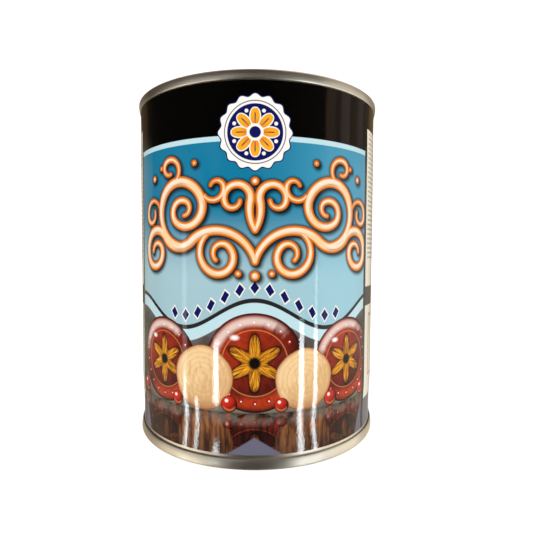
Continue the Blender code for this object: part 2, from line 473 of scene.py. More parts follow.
def chestnut_mesh(rng):
    """A flattened round corm, trimmed at its crown and foot, and never quite round."""
    width = CHESTNUT_RADIUS * rng.uniform(SMALLEST, 1)
    height = CHESTNUT_HEIGHT / 2 / TRIM * rng.uniform(SMALLEST, 1)
    turn_two, turn_three = rng.uniform(0, math.pi), rng.uniform(0, math.pi)
    bm = bmesh.new()
    bmesh.ops.create_uvsphere(bm, u_segments=CHESTNUT_SEGMENTS, v_segments=CHESTNUT_RINGS, radius=1.0)
    for v in bm.verts:
        around = math.atan2(v.co.y, v.co.x)
        oval = OVAL * (math.cos(2 * (around - turn_two)) - 1)
        three_sided = THREE_SIDED * (math.cos(3 * (around - turn_three)) - 1)
        waist = width * math.hypot(v.co.x, v.co.y) ** ROUNDNESS * (1 + oval + three_sided)
        level = math.copysign(min(abs(v.co.z) ** ROUNDNESS, TRIM), v.co.z)
        v.co = Vector((waist * math.cos(around), waist * math.sin(around), height * level)) * MM
    return bm


# Node trees written as formulas

# Where a Mix node keeps its colour sockets
MIX_UNDER = 6
MIX_OVER = 7
MIX_RESULT = 2

Surface = namedtuple("Surface", "material shader where x y z")


class Wire:
    """An output of a node, as a value. Arithmetic on it adds Math nodes."""

    def __init__(self, node, output):
        self.tree = node.id_data
        self.socket = node.outputs[output]

    def __add__(self, other):
        return calc("ADD", self, other)

    def __radd__(self, other):
        return calc("ADD", other, self)

    def __sub__(self, other):
        return calc("SUBTRACT", self, other)

    def __rsub__(self, other):
        return calc("SUBTRACT", other, self)

    def __mul__(self, other):
        return calc("MULTIPLY", self, other)

    def __rmul__(self, other):
        return calc("MULTIPLY", other, self)

    def __truediv__(self, other):
        return calc("DIVIDE", self, other)

    def __abs__(self):
        return calc("ABSOLUTE", self)


def put(node, inputs):
    """Put numbers, colours and wires into a node's inputs, by name or place."""
    for name, value in inputs.items():
        socket = node.inputs[name]
        if isinstance(value, Wire):
            value.tree.links.new(value.socket, socket)
        elif isinstance(value, tuple) and len(socket.default_value) == 4:
            socket.default_value = (*value, 1.0)
        else:
            socket.default_value = value


def new_node(kind, inputs, **settings):
    """A new node in the tree that its wires come from."""
    tree = next(value.tree for value in inputs.values() if isinstance(value, Wire))
    node = tree.nodes.new("ShaderNode" + kind)
    for name, value in settings.items():
        setattr(node, name, value)
    put(node, inputs)
    return node


def calc(operation, *values):
    return Wire(new_node("Math", dict(enumerate(values)), operation=operation), 0)


def least(first, *others):
    for other in others:
        first = calc("MINIMUM", first, other)
    return first


def most(first, *others):
    for other in others:
        first = calc("MAXIMUM", first, other)
    return first


def rise(value, low, high):
    """0 at low, 1 at high and a smooth step between, whichever of the two is the greater."""
    inputs = {
        "Value": value,
        "From Min": min(low, high),
        "From Max": max(low, high),
        "To Min": float(low > high),
        "To Max": float(low < high),
    }
    return Wire(new_node("MapRange", inputs, interpolation_type="SMOOTHSTEP"), "Result")


def above(value, limit, soft):
    return rise(value, limit - soft, limit + soft)


def below(value, limit, soft):
    return rise(value, limit + soft, limit - soft)


def clamped(value):
    return least(most(value, 0.0), 1.0)


def band(value, low, high, soft):
    """1 between low and high and 0 outside, over soft edges."""
    return above(value, low, soft) * below(value, high, soft)


def paint(share, under, over, blend="MIX"):
    """The colour over laid on the colour under, as far as share says."""
    inputs = {"Factor": share, MIX_UNDER: under, MIX_OVER: over}
    return Wire(new_node("Mix", inputs, data_type="RGBA", blend_type=blend), MIX_RESULT)


def tint(share, under, over):
    """The colour under darkened by the colour over, as far as share says."""
    return paint(share, under, over, "MULTIPLY")


def painted(colour, *layers):
    """A colour with others laid on it in turn, each given as a share and a colour."""
    for share, over in layers:
        colour = paint(share, colour, over)
    return colour


def vector(x, y, z=0.0):
    return Wire(new_node("CombineXYZ", {0: x, 1: y, 2: z}), 0)


def vector_calc(operation, *values):
    """A vector operation. LENGTH and DOT_PRODUCT give a number, and SCALE takes one second."""
    places = (0, "Scale") if operation == "SCALE" else (0, 1)
    node = new_node("VectorMath", dict(zip(places, values)), operation=operation)
    return Wire(node, "Value" if operation in ("LENGTH", "DOT_PRODUCT") else "Vector")


def cloud(where, scale, detail=2.0, roughness=0.5):
    """Smooth noise from 0 to 1."""
    inputs = {"Vector": where, "Scale": scale, "Detail": detail, "Roughness": roughness}
    return Wire(new_node("TexNoise", inputs), "Fac")


def distance_to(x, y, centre_x, centre_y):
    return vector_calc("LENGTH", vector(x - centre_x, y - centre_y))


def repeat(value, period):
    """The value folded into one period round 0."""
    return calc("WRAP", value, period / 2, -period / 2)


def split(value):
    """The x, y and z of a vector."""
    node = new_node("SeparateXYZ", {0: value})
    return [Wire(node, axis) for axis in "XYZ"]


def turn_from_front(x, y):
    """The angle of a direction, from -Y towards +X."""
    return calc("ARCTAN2", x, 0.0 - y)


def surface(name):
    """A new material, its shader and the point on the piece in millimetres, whole and as x, y and z."""
    mat = bpy.data.materials.new(name)
    mat.use_nodes = True
    nodes = mat.node_tree.nodes
    position = Wire(nodes.new("ShaderNodeTexCoord"), "Object")
    where = vector_calc("MULTIPLY", position, (1 / MM, 1 / MM, 1 / MM))
    return Surface(mat, nodes["Principled BSDF"], where, *split(where))


def relief(shader, height, depth, *sockets):
    """Relief of the given height, where 1 stands depth millimetres above 0."""
    bump = new_node("Bump", {"Strength": 1.0, "Distance": depth * MM, "Height": height})
    put(shader, {socket: Wire(bump, "Normal") for socket in sockets})


def linear(level):
    """A level that a screen shows, from 0 to 255, in the linear value that a shader takes."""
    if level <= 10:
        return level / 255 / 12.92
    return ((level / 255 + 0.055) / 1.055) ** 2.4


def rgb(red, green, blue):
    return linear(red), linear(green), linear(blue)


# The print

# How soft the edges of the ink are
INK_EDGE = 0.10
FINE_EDGE = 0.08

# The blue ground fades downwards. A pale line and a black band are over it, and a dark border is beside it
FADE_TOP = 79.0
FADE_FOOT = 55.0
PALE_LINE_FOOT = 96.0
BAND_FOOT = 97.5
BORDER_WIDTH = 2.0

BLACK = rgb(1, 1, 1)
PALE = rgb(188, 218, 224)
TEAL = rgb(8, 117, 152)
PALE_TEAL = rgb(126, 208, 232)
SKY = rgb(160, 192, 200)
BORDER = rgb(34, 38, 42)
WHITE = rgb(244, 240, 234)
NAVY = rgb(10, 16, 88)
AMBER = rgb(244, 166, 30)
DEEP_AMBER = rgb(226, 130, 22)
ORANGE = rgb(212, 106, 14)
PALE_ORANGE = rgb(238, 156, 74)
PEACH = rgb(250, 204, 154)
RIM_BROWN = rgb(122, 56, 6)
SHADE = rgb(104, 104, 106)
SHADOW = rgb(14, 30, 38)
CREAM = rgb(216, 174, 120)
PALE_CREAM = rgb(238, 202, 150)
TAN = rgb(196, 128, 78)
DISC_FIBRE = rgb(232, 178, 118)
DISC_FOOT = rgb(150, 86, 48)
DISC_RIM = rgb(112, 44, 20)
MAROON = rgb(44, 8, 5)
RED_BROWN = rgb(132, 30, 12)
RED_ORANGE = rgb(206, 66, 24)
MOTTLE = rgb(150, 96, 74)
PETAL_BROWN = rgb(112, 52, 10)
PETAL_PALE = rgb(252, 216, 132)
PETAL_RIM = rgb(96, 38, 10)
PETAL_SHADOW = rgb(22, 7, 4)
HEART = rgb(20, 8, 5)
HAIRLINE = rgb(214, 142, 84)
BEAD_RIM = rgb(26, 6, 4)
BEAD_RED = rgb(186, 28, 14)
ROUNDEL_RIM = rgb(18, 5, 3)
BERRY_DARK = rgb(60, 6, 4)
BERRY_RED = rgb(206, 38, 20)
BERRY_GLOW = rgb(236, 120, 70)
BERRY_RIM = rgb(30, 5, 4)
GLEAM = rgb(240, 216, 204)
SPARK = rgb(255, 252, 250)
GROUND = rgb(24, 18, 17)
GROUND_BROWN = rgb(96, 60, 42)
SMOKE = rgb(112, 108, 110)
HALO = rgb(138, 130, 116)
WET_DARK = rgb(84, 54, 42)
WET_PALE = rgb(196, 154, 128)
WAVE_LINE = rgb(40, 34, 36)
LILAC = rgb(104, 102, 120)
PAPER = rgb(250, 242, 224)
PAPER_LINE = rgb(150, 142, 120)
GREY_BLOCK = rgb(96, 94, 92)

# The scrollwork: pens that start at (across, height) with a heading and half the stroke's width, then runs
# of (radius, degrees turned to the left, half the width at the end), mirrored about the panel's middle.
# They are the stem, the spirals under and over it, the tendrils and the lyre in the middle
PENS = (
    ((0.0, 61.5), 76, 1.2,
     ((12.0, -118, 1.7), (7.2, 95, 1.7), (6.3, -165, 1.55), (4.6, -160, 1.3), (2.8, -175, 0.9))),
    ((9.8, 70.9), 4, 0.9, ((6.6, -160, 1.4), (4.7, -160, 1.2), (2.8, -180, 0.85))),
    ((21.4, 66.4), -8, 1.0,
     ((9.9, 125, 1.7), (8.4, 130, 1.6), (6.0, 150, 1.35), (3.7, 170, 1.1), (2.2, 150, 0.8))),
    ((33.6, 77.6), 72, 0.7, ((4.1, -175, 1.15), (2.6, -190, 0.8))),
    ((26.6, 85.3), 158, 0.8, ((3.6, -190, 1.1), (2.2, -170, 0.75))),
    ((15.2, 80.6), 232, 0.9, ((3.4, -150, 1.05), (2.1, -150, 0.7))),
    ((0.0, 70.6), 60, 1.1, ((12.0, 42, 1.4), (3.9, -215, 1.15), (2.3, -150, 0.8))),
)
BEADS = (
    (0.0, 84.6, 1.3), (0.0, 57.4, 1.5), (4.9, 58.0, 1.1),
    (36.6, 87.2, 1.2), (32.4, 90.0, 0.9), (18.6, 90.4, 1.0),
)
SHADOW_SHIFT = (0.60, -0.62)

# The rosette at the top of the panel, from its middle out
ROSETTE_HEIGHT = 98.4
HEART_RADIUS = 1.64
HEART_RING = 2.42
PETALS = 8
PETAL_REACH = (1.9, 7.1)
PETAL_CUT = (2.1, 6.95)
PETAL_WIDTH = 0.60
BEAD_CIRCLE = 6.5
BEAD_RADIUS = 0.54
FIELD_RADIUS = 8.06
FIELD_LINE = (8.72, 8.98)
ROSETTE_RADIUS = 10.4
LOBES = 16
LOBE = 0.42

# The row of lozenges, which runs over the wave
LOZENGE_PITCH = 4.4
LOZENGE_REACH = 28.6
LOZENGE_LIFT = 5.4
LOZENGE_FORM = (1.1, 0.8)
LOZENGE_OUTLINE = 1.9
LOZENGE_INSIDE = 1.46

# The edge between the pale ground and the dark one: a wave with its crests at the panel's middle and sides
WAVE_MIDDLE = 44.2
WAVE_RISE = 4.4
WAVE_LENGTH = 46.0
WAVE_PALE = (-2.6, 1.0)
WAVE_DARK = (1.0, 2.3)
WAVE_EDGE = 0.12

# The dark ground's motifs over a wet floor: glossy roundels, pale discs and berries, each (across, radius)
FLOOR_LINE = 17.0
ROUNDELS = ((-31.6, 13.4), (31.6, 13.4), (0.0, 14.8))
DISCS = ((-16.2, 9.8), (15.4, 9.4))
DISC_RING_PITCH = 0.155
BERRIES = ((-7.6, 2.5), (-25.4, 2.2), (8.0, 2.2), (24.6, 2.5), (-44.2, 2.6), (40.6, 2.3))
INLAY_PETALS = 6
ROUNDEL_BEADS = 18

# The patches along the picture's foot: how high they are in the middle and at the sides, and their slopes
PATCH_TOP = 9.6
PATCH_SLOPE = 0.62
LEFT_PATCH_TOP = 21.0
RIGHT_PATCH_TOP = 20.0
SIDE_PATCH_SLOPE = 2.3

# The side panels, as heights and half widths: ruled hairlines, a grey block, an empty frame and the paper
RULE_PITCH = 1.6
RULED = (62.0, 104.0)
RULED_HALF = 19.5
BLOCK = (46.0, 52.5)
FRAME = (21.0, 43.0)
FRAME_HALF = 17.1
FRAME_LINE = 1.0
PAPER_FOOT = 14.0
PAPER_TOP = 105.2


def pen_arcs(start, heading, half_width, runs):
    """The arcs that a pen draws: centre, radius, direction of the middle, turn and both half widths."""
    point, heading = Vector(start), math.radians(heading)
    arcs = []
    for radius, degrees, end_half_width in runs:
        turn = math.radians(degrees)
        side = math.copysign(1, turn)
        centre = point + radius * side * Vector((-math.sin(heading), math.cos(heading)))
        begin = heading - side * math.pi / 2
        arcs.append((centre, radius, begin + turn / 2, turn, half_width, end_half_width))
        point = centre + radius * Vector((math.cos(begin + turn), math.sin(begin + turn)))
        heading += turn
        half_width = end_half_width
    return arcs


def arc_stroke(where, centre, radius, direction, turn, start_half_width, end_half_width):
    """The distance from a tapered stroke along an arc, which is negative inside the stroke."""
    c, s = math.cos(direction), math.sin(direction)
    half_angle = abs(turn) / 2
    offset = vector_calc("SUBTRACT", where, (centre.x, centre.y, 0))
    along = vector_calc("DOT_PRODUCT", offset, (c, s, 0))
    beside = vector_calc("DOT_PRODUCT", offset, (-s, c, 0))
    folded = vector(abs(beside), along)
    tip = (radius * math.sin(half_angle), radius * math.cos(half_angle), 0)
    to_tip = vector_calc("LENGTH", vector_calc("SUBTRACT", folded, tip))
    to_curve = abs(vector_calc("LENGTH", offset) - radius)
    beyond = calc("GREATER_THAN", vector_calc("DOT_PRODUCT", folded, (tip[1], -tip[0], 0)), 0.0)
    share = clamped(calc("ARCTAN2", beside, along) / turn + 0.5)
    half_width = share * (end_half_width - start_half_width) + start_half_width
    return to_curve + beyond * (to_tip - to_curve) - half_width


def scrollwork_group():
    """A node group that gives the distance from the scrollwork at a place on the panel."""
    group = bpy.data.node_groups.new("scrollwork", "ShaderNodeTree")
    for name, side in (("Across", "INPUT"), ("Height", "INPUT"), ("Distance", "OUTPUT")):
        group.interface.new_socket(name, in_out=side, socket_type="NodeSocketFloat")
    inside = group.nodes.new("NodeGroupInput")
    across = abs(Wire(inside, "Across"))
    height = Wire(inside, "Height")
    where = vector(across, height)
    parts = [arc_stroke(where, *arc) for pen in PENS for arc in pen_arcs(*pen)]
    parts += [distance_to(across, height, x, y) - radius for x, y, radius in BEADS]
    put(group.nodes.new("NodeGroupOutput"), {"Distance": least(*parts)})
    return group


def from_scrollwork(group, across, height):
    inputs = {"Across": across, "Height": height}
    return Wire(new_node("Group", inputs, node_tree=group), "Distance")


def draw_scrollwork(colour, group, across, height):
    """Strokes that look raised: a soft shadow, an orange edge and a pale fill, lit from the upper left."""
    stroke = from_scrollwork(group, across, height)
    shifted = from_scrollwork(group, across - SHADOW_SHIFT[0], height - SHADOW_SHIFT[1])
    slope = shifted - stroke
    colour = tint(rise(shifted, 1.35, -0.4) * 0.92, colour, SHADOW)
    colour = tint(rise(stroke, 0.9, 0.0) * 0.55, colour, SHADOW)
    return painted(
        colour,
        (rise(stroke, 0.14, -0.06), RIM_BROWN),
        (rise(stroke, 0.02, -0.20), ORANGE),
        (band(stroke, -0.58, -0.46, 0.10) * 0.8, PALE_ORANGE),
        (rise(stroke, -0.58, -0.80), PEACH),
        (rise(stroke, -0.66, -0.98) * rise(slope, -0.25, -0.70) * 0.8, SHADE),
        (rise(stroke, -0.72, -1.02) * rise(slope, 0.1, 0.6) * 0.55, WHITE),
    )


def spokes(radius, angle, count):
    """A place folded into one of count equal sectors: beside the sector's middle line and along it."""
    folded = repeat(angle, math.tau / count)
    return radius * calc("SINE", folded), radius * calc("COSINE", folded)


def draw_rosette(colour, across, height):
    """A flower of amber petals on navy, in a white ring with a lobed edge."""
    over = height - ROSETTE_HEIGHT
    radius = vector_calc("LENGTH", vector(across, over))
    angle = calc("ARCTAN2", across, over)
    edge = radius - ROSETTE_RADIUS - LOBE * calc("COSINE", angle * LOBES)
    bead = distance_to(*spokes(radius, angle + math.pi / PETALS, PETALS), 0.0, BEAD_CIRCLE)
    beside, along = spokes(radius, angle, PETALS)
    bulge = most((along - PETAL_REACH[0]) * (PETAL_REACH[1] - along), 0.0)
    half_width = calc("SQRT", bulge) * PETAL_WIDTH
    petal = most(abs(beside) - half_width, PETAL_CUT[0] - along, along - PETAL_CUT[1])
    fill = below(petal, -0.20, FINE_EDGE)
    vein = fill * below(abs(beside), 0.16, FINE_EDGE)
    return painted(
        colour,
        (below(edge, 0.34, FINE_EDGE), NAVY),
        (below(edge, -0.02, FINE_EDGE), WHITE),
        (band(radius, *FIELD_LINE, INK_EDGE), NAVY),
        (below(radius, FIELD_RADIUS, FINE_EDGE), NAVY),
        (below(bead, BEAD_RADIUS, FINE_EDGE), WHITE),
        (below(petal, 0.12, FINE_EDGE), WHITE),
        (fill, AMBER),
        (vein * rise(along, 6.0, 5.0), NAVY),
        (fill * rise(along, 5.0, 2.6) * 0.6, DEEP_AMBER),
        (below(radius, HEART_RING, FINE_EDGE), WHITE),
        (below(radius, HEART_RADIUS, FINE_EDGE), NAVY),
    )


def wave_height(across):
    return WAVE_MIDDLE + WAVE_RISE * calc("COSINE", across * (math.tau / WAVE_LENGTH))


def draw_lozenges(colour, across, height):
    """A row of small navy lozenges that follows the wave."""
    beside = abs(repeat(across, LOZENGE_PITCH))
    off = abs(height - wave_height(across) - LOZENGE_LIFT)
    out = beside * LOZENGE_FORM[0] + off * LOZENGE_FORM[1]
    within = below(abs(across), LOZENGE_REACH, INK_EDGE / 2)
    outline = below(out, LOZENGE_OUTLINE, INK_EDGE) * within
    inside = below(out, LOZENGE_INSIDE, INK_EDGE) * within
    return painted(colour, (outline, WHITE), (inside, NAVY))


def from_motifs(across, height):
    """The distance from the nearest roundel or disc, which is negative inside it."""
    distances = []
    for centre, radius in (*ROUNDELS, *DISCS):
        distances.append(distance_to(across, height, centre, FLOOR_LINE + radius) - radius)
    return least(*distances)


def roundel_frame(across, height, centre, radius):
    """A place on a motif that stands on the floor line: x, y and how far out, as shares of its radius."""
    x = (across - centre) / radius
    y = (height - (FLOOR_LINE + radius)) / radius
    return x, y, vector_calc("LENGTH", vector(x, y))


def draw_inlay(colour, out, angle, seed):
    """A flower of fibrous amber petals with a dark heart, and a hairline round it."""
    petal = out - (0.41 + 0.16 * calc("COSINE", angle * INLAY_PETALS))
    fibres = cloud(vector(angle * 16.0, out * 3.0, seed), 1.0, 3.0, 0.65)
    inlay = painted(
        PETAL_BROWN,
        (rise(fibres, 0.38, 0.62), AMBER),
        (rise(fibres, 0.58, 0.74) * rise(out, 0.15, 0.5), PETAL_PALE),
        (rise(petal + (fibres - 0.5) * 0.15, -0.10, 0.02) * 0.8, PETAL_RIM),
    )
    return painted(
        colour,
        (rise(petal, 0.10, 0.0) * 0.9, PETAL_SHADOW),
        (below(petal, 0.0, 0.012), inlay),
        (rise(out, 0.16, 0.09), HEART),
        (band(out, 0.655, 0.672, 0.010) * 0.75, HAIRLINE),
    )


def draw_roundel(colour, across, height, centre, radius, grain):
    """A glossy red-brown roundel with an inlaid flower and a ring of beads, lit from the upper left."""
    x, y, out = roundel_frame(across, height, centre, radius)
    angle = calc("ARCTAN2", x, y)
    dome = calc("SQRT", most(1.0 - out * out, 0.0))
    streaks = cloud(vector(angle * 5.0, out * 2.2, centre), 1.0, 3.0, 0.6)
    light = dome * 0.55 + y * 0.42 - x * 0.26 + (streaks - 0.5) * 0.35
    glow = band(out, 0.70, 0.93, 0.09) * rise(y - x * 0.5, -0.25, -0.75)
    body = painted(
        MAROON,
        (rise(light, -0.10, 0.62), RED_BROWN),
        (rise(light, 0.42, 0.95) * 0.65, RED_ORANGE),
        (glow * 0.75, RED_ORANGE),
    )
    body = tint(rise(grain, 0.42, 0.68) * 0.5, body, MOTTLE)
    bead_x, bead_y = spokes(out, angle, ROUNDEL_BEADS)
    bead = distance_to(bead_x, bead_y, 0.0, 0.80)
    bead_spark = distance_to(bead_x, bead_y, -0.012, 0.815)
    window = distance_to(x, y * 1.7, -0.40, 0.86)
    sheen = band(out, 0.76, 0.92, 0.06) * rise(y - x * 0.35 + (streaks - 0.5) * 0.8, 0.30, 0.72)
    body = painted(
        draw_inlay(body, out, angle, centre),
        (rise(bead, 0.062, 0.040) * 0.85, BEAD_RIM),
        (rise(bead, 0.046, 0.034), BEAD_RED),
        (sheen * 0.8, GLEAM),
        (rise(bead_spark, 0.022, 0.008), SPARK),
        (rise(window, 0.13, 0.03) * 0.9, SPARK),
        (rise(out, 0.93, 1.0) * 0.9, ROUNDEL_RIM),
    )
    return paint(rise(out, 1.008, 0.988), colour, body)


def draw_disc(colour, across, height, centre, radius, grain):
    """A pale disc with a darker edge and faint rings."""
    x, y, out = roundel_frame(across, height, centre, radius)
    angle = calc("ARCTAN2", x, y)
    edge = out + 0.014 * calc("COSINE", angle * 5.0 + centre) + (grain - 0.5) * 0.05
    fibres = cloud(vector(across * 0.9, height * 0.35, centre), 1.0, 4.0, 0.6)
    ring = abs(repeat(out, DISC_RING_PITCH))
    body = painted(
        CREAM,
        (rise(fibres + y * 0.25 - x * 0.2, 0.30, 0.70), PALE_CREAM),
        (rise(fibres, 0.56, 0.72) * 0.35, DISC_FIBRE),
        (rise(ring, 0.020, 0.006) * band(out, 0.2, 0.86, 0.05) * 0.30, TAN),
        (rise(edge, 0.84, 1.0) * 0.8, TAN),
        (rise(y - out * 0.4, -0.7, -1.3) * 0.5, DISC_FOOT),
        (rise(edge, 0.955, 1.0) * 0.8, DISC_RIM),
    )
    return paint(rise(edge, 1.010, 0.990), colour, body)


def draw_berry(colour, across, height, centre, radius):
    """A small glossy red bead."""
    x, y, out = roundel_frame(across, height, centre, radius)
    light = calc("SQRT", most(1.0 - out * out, 0.0)) * 0.6 + y * 0.4 - x * 0.3
    body = painted(
        BERRY_DARK,
        (rise(light, 0.0, 0.8), BERRY_RED),
        (band(out, 0.62, 0.84, 0.12) * rise(y, -0.1, -0.6) * 0.7, BERRY_GLOW),
        (rise(distance_to(x, y, -0.30, 0.42), 0.30, 0.10), SPARK),
        (rise(out, 0.84, 1.0) * 0.8, BERRY_RIM),
    )
    return paint(rise(out, 1.04, 0.96), colour, body)


def draw_ground(across, height, folded, grain):
    """The dark ground, smoky under the wave and pale round the motifs."""
    under = wave_height(across) - height
    smoky = rise(under + (grain - 0.5) * 6.0, 7.5, 0.5)
    near_motif = rise(from_motifs(across, folded) + (grain - 0.5) * 2.0, 4.5, 0.0)
    near_floor = band(height, 12.5, 24.0, 4.5)
    return painted(
        GROUND,
        (smoky * 0.75, SMOKE),
        (rise(grain, 0.42, 0.75) * 0.30, GROUND_BROWN),
        (near_motif * (0.16 + 0.55 * near_floor), HALO),
    )


def draw_patches(colour, across, height):
    """Plain lilac-grey patches along the foot of the picture."""
    middle = PATCH_TOP - abs(across) * PATCH_SLOPE
    left = LEFT_PATCH_TOP - (across + PANEL_LEFT) * SIDE_PATCH_SLOPE
    right = RIGHT_PATCH_TOP - (PANEL_RIGHT - across) * SIDE_PATCH_SLOPE
    over = most(middle, left, right) - height
    return paint(rise(over, -0.25, 0.45), colour, LILAC)


def draw_picture(across, height, where):
    """The lower part of a picture panel: roundels, discs and berries over their dim reflections."""
    folded = abs(height - FLOOR_LINE) + FLOOR_LINE
    grain = cloud(where, 0.30, 4.0, 0.62)
    scene = draw_ground(across, height, folded, grain)
    for centre, radius in ROUNDELS:
        scene = draw_roundel(scene, across, folded, centre, radius, grain)
    for centre, radius in DISCS:
        scene = draw_disc(scene, across, folded, centre, radius, grain)
    for centre, radius in BERRIES:
        scene = draw_berry(scene, across, folded, centre, radius)
    streaks = cloud(vector(across * 0.75, height * 0.10, 3.0), 1.0, 3.0, 0.6)
    wet = paint(rise(streaks, 0.36, 0.66), WET_DARK, WET_PALE)
    dimmed = painted(
        tint(rise(streaks, -0.2, 0.1), scene, wet),
        (rise(height, 15.5, 5.0) * 0.62, GROUND),
        (band(height, 13.5, 16.9, 1.3) * rise(grain, 0.35, 0.6) * 0.45, HALO),
    )
    return paint(below(height, FLOOR_LINE, 0.25), scene, draw_patches(dimmed, across, height))


def draw_side_panel(beside, height):
    """A cream panel with ruled hairlines, a grey block and an empty frame."""
    off = abs(beside)
    line = below(abs(repeat(height, RULE_PITCH)), 0.26, FINE_EDGE)
    ruled = line * band(height, *RULED, INK_EDGE) * below(off, RULED_HALF, INK_EDGE)
    frames = []
    for inset in (0.0, FRAME_LINE):
        inside = band(height, FRAME[0] + inset, FRAME[1] - inset, INK_EDGE)
        frames.append(inside * below(off, FRAME_HALF - inset, INK_EDGE))
    return painted(
        PAPER,
        (ruled * 0.75, PAPER_LINE),
        (band(height, *BLOCK, INK_EDGE), GREY_BLOCK),
        (frames[0], CREAM),
        (frames[1], PAPER),
        (above(height, PAPER_TOP, INK_EDGE), BLACK),
        (below(height, PAPER_FOOT, INK_EDGE), LILAC),
    )


def artwork(arc, height, where):
    """The colour of the print."""
    across = calc("WRAP", arc - PANEL_MIDDLE, PANEL_RIGHT + SIDE_WIDTH, -PANEL_LEFT)
    fade = rise(height, FADE_TOP, FADE_FOOT) + (cloud(where, 0.09, 2.0) - 0.5) * 0.12
    over_wave = height - wave_height(across)
    in_motif = below(from_motifs(across, height), 0.0, INK_EDGE / 2)
    colour = painted(
        TEAL,
        (clamped(fade), SKY),
        (rise(across, -3.0, 31.0) * 0.26, PALE_TEAL),
        (band(over_wave, *WAVE_PALE, WAVE_EDGE), PALE),
        (band(over_wave, *WAVE_DARK, WAVE_EDGE), WAVE_LINE),
        (most(rise(over_wave, -2.4, -2.7), in_motif), draw_picture(across, height, where)),
    )
    colour = draw_lozenges(colour, across, height)
    colour = draw_scrollwork(colour, scrollwork_group(), across, height)
    pale_line = above(height, PALE_LINE_FOOT, INK_EDGE)
    black_band = above(height, BAND_FOOT, INK_EDGE)
    colour = draw_rosette(painted(colour, (pale_line, PALE), (black_band, BLACK)), across, height)
    to_border = least(across + PANEL_LEFT, PANEL_RIGHT - across)
    border = below(to_border, BORDER_WIDTH, INK_EDGE) * rise(height, BAND_FOOT, BAND_FOOT - INK_EDGE)
    side_panel = draw_side_panel(across - (PANEL_RIGHT + SIDE_WIDTH / 2), height)
    return painted(colour, (border, BORDER), (below(to_border, 0.0, INK_EDGE / 2), side_panel))


# The other materials' colours
TIN = rgb(212, 206, 196)
BRIGHT_TIN = rgb(232, 227, 218)
TIN_LINES = rgb(190, 182, 168)
WELD_HEAT = rgb(104, 98, 108)
WELD_BEAD = rgb(70, 68, 74)
COMPOUND = rgb(150, 142, 128)
PALE_COMPOUND = rgb(172, 164, 150)
FLESH = rgb(238, 226, 196)
DARK_FLESH = rgb(224, 206, 166)
FLECKS = rgb(166, 128, 84)
FLOOR_DARK = rgb(252, 252, 251)
FLOOR_PALE = rgb(254, 254, 253)

# Heights of relief, from the lowest point to the highest
PEEL_DEPTH = 0.006
TIN_DEPTH = 0.0018
COMPOUND_DEPTH = 0.01
FLESH_DEPTH = 0.25


def print_material():
    """The print under its lacquer, which has a fine peel that grows towards the foot and a broad one."""
    new = surface("lacquered_print")
    arc = turn_from_front(new.x, new.y) * BODY_RADIUS
    put(new.shader, {
        "Base Color": artwork(arc, new.z, new.where),
        "Roughness": 0.45,
        "Specular IOR Level": 0.06,
        "Coat Weight": 1.0,
        "Coat Roughness": 0.0,
        "Coat IOR": 1.65,
    })
    fine_peel = cloud(new.where, 1.8, 1.0) * (1.0 + 2.2 * rise(new.z, 40.0, 8.0))
    broad_peel = cloud(new.where, 0.25, 1.0) * 0.6
    relief(new.shader, fine_peel + broad_peel, PEEL_DEPTH, "Normal", "Coat Normal")
    return new.material


def tinplate_material(name, weld=False):
    """Bright tin-coated steel: fine lines round it, duller patches and, on the body's sheet, a weld."""
    new = surface(name)
    radius = vector_calc("LENGTH", vector(new.x, new.y))
    angle = turn_from_front(new.x, new.y)
    fine = cloud(vector(radius * 7.0, new.z * 7.0, angle * 1.5), 1.0, 3.0, 0.6)
    patches = cloud(new.where, 0.12, 3.0, 0.6)
    colour = paint(patches, TIN, BRIGHT_TIN)
    colour = paint(rise(fine, 0.5, 0.75) * 0.25, colour, TIN_LINES)
    height = fine
    if weld:
        off = abs(repeat(angle * BODY_RADIUS - WELD_ARC, GIRTH))
        beats = calc("COSINE", new.z * (math.tau / WELD_PITCH)) * 0.5 + 0.5
        bead = rise(off, WELD_WIDTH / 2 + 0.15, WELD_WIDTH / 2)
        colour = paint(rise(off, WELD_WIDTH + 0.6, WELD_WIDTH / 2) * 0.5, colour, WELD_HEAT)
        colour = paint(bead * (0.35 + 0.3 * beats), colour, WELD_BEAD)
        height = fine + bead * (20.0 + 6.0 * beats)
    roughness = 0.25 + 0.07 * patches + 0.05 * fine
    put(new.shader, {"Base Color": colour, "Metallic": 1.0, "Roughness": roughness})
    relief(new.shader, height, TIN_DEPTH, "Normal")
    return new.material


def compound_material():
    new = surface("sealing_compound")
    grain = cloud(new.where, 3.0, 3.0)
    put(new.shader, {"Base Color": paint(grain, COMPOUND, PALE_COMPOUND), "Roughness": 0.7})
    relief(new.shader, grain, COMPOUND_DEPTH, "Normal")
    return new.material


def flesh_material():
    """Wet peeled flesh: cream, with browner flecks and shallow marks of the knife."""
    new = surface("chestnut_flesh")
    broad = cloud(new.where, 0.10, 3.0, 0.6)
    flecks = cloud(new.where, 1.3, 4.0, 0.7)
    colour = paint(broad, FLESH, DARK_FLESH)
    colour = paint(rise(flecks, 0.64, 0.74) * 0.5, colour, FLECKS)
    put(new.shader, {
        "Base Color": colour,
        "Roughness": 0.32,
        "Subsurface Weight": 0.25,
        "Subsurface Scale": 0.002,
    })
    relief(new.shader, cloud(new.where, 0.35, 2.0) + flecks * 0.15, FLESH_DEPTH, "Normal")
    return new.material


# The camera, the floor and the light

